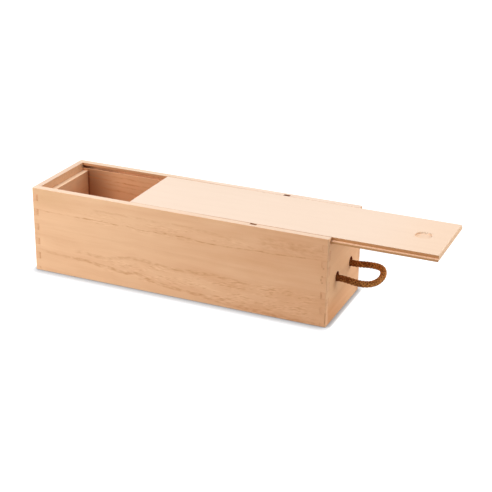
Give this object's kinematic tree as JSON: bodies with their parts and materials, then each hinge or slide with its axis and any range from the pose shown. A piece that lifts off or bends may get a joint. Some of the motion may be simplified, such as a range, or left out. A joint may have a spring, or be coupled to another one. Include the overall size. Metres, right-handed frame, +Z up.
{
  "type": "wooden wine box",
  "caption": "Finger-jointed softwood bottle box with a grooved sliding lid, a thumb recess, a notched neck rest and a knotted rope handle on the end.",
  "frame": {"origin": "centre of the four walls' base, on the surface that the box stands on", "axes": "+X along the box towards the rope end and out of it, +Y towards the back side, +Z up"},
  "size_m": [0.468, 0.108, 0.1],
  "materials": {
    "side_wood": "planed bare softwood, matt, grain along the board",
    "end_wood": "planed bare softwood, matt, grain across the box",
    "inner_wood": "planed bare softwood, matt",
    "lid_wood": "sanded bare softwood, matt, very faint grain",
    "rope": "brown braided fibre rope, slightly fuzzy"
  },
  "bodies": {
    "box": {"front_side": "side_wood", "back_side": "side_wood", "closed_end": "end_wood", "rope_end": "end_wood", "bottom_board": "inner_wood", "base_spacer": "inner_wood", "neck_rest": "inner_wood", "rope_ends": "rope", "rope_knots": "rope"},
    "lid": {"lid": "lid_wood"},
    "handle": {"rope_handle": "rope"}
  },
  "joints": [
    {"name": "lid_slide", "type": "slide", "parent": "box", "child": "lid", "axis": [1, 0, 0], "range_m": [-0.113, 0.24]},
    {"name": "handle_swing", "type": "hinge", "parent": "box", "child": "handle", "pos_m": [0.1835, 0, 0.0445], "axis": [0, 1, 0], "range_deg": [-85, 85]}
  ]
}
